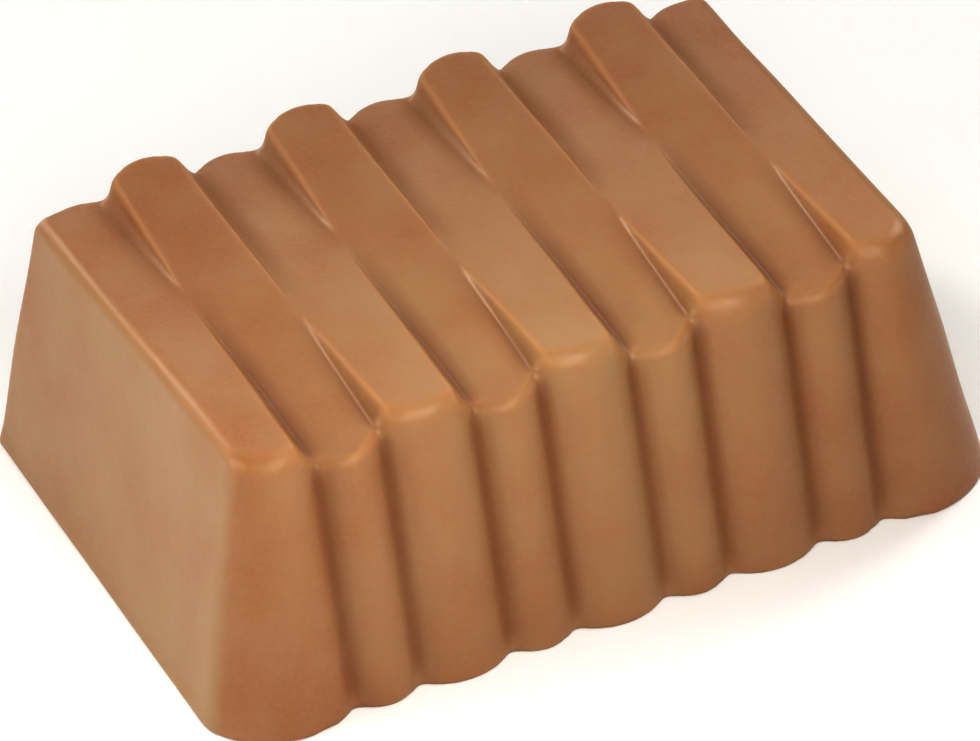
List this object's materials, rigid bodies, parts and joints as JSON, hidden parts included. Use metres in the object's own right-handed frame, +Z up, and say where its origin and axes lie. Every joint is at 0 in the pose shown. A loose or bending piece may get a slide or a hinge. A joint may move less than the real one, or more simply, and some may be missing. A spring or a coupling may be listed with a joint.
{
  "type": "chocolate praline",
  "caption": "Moulded milk chocolate praline: a bite-sized block with leaning sides, whose cross ribs ramp up in turn towards the front and towards the back.",
  "frame": {"origin": "middle of the flat base, on the surface that the praline stands on", "axes": "+X along the block, across the ribs; -Y towards the front shown in the picture; +Z up"},
  "size_m": [0.038, 0.0264, 0.014],
  "materials": {
    "chocolate": "satin milk chocolate, moulded"
  },
  "bodies": {
    "root": {"chocolate_block": "chocolate"}
  },
  "joints": []
}
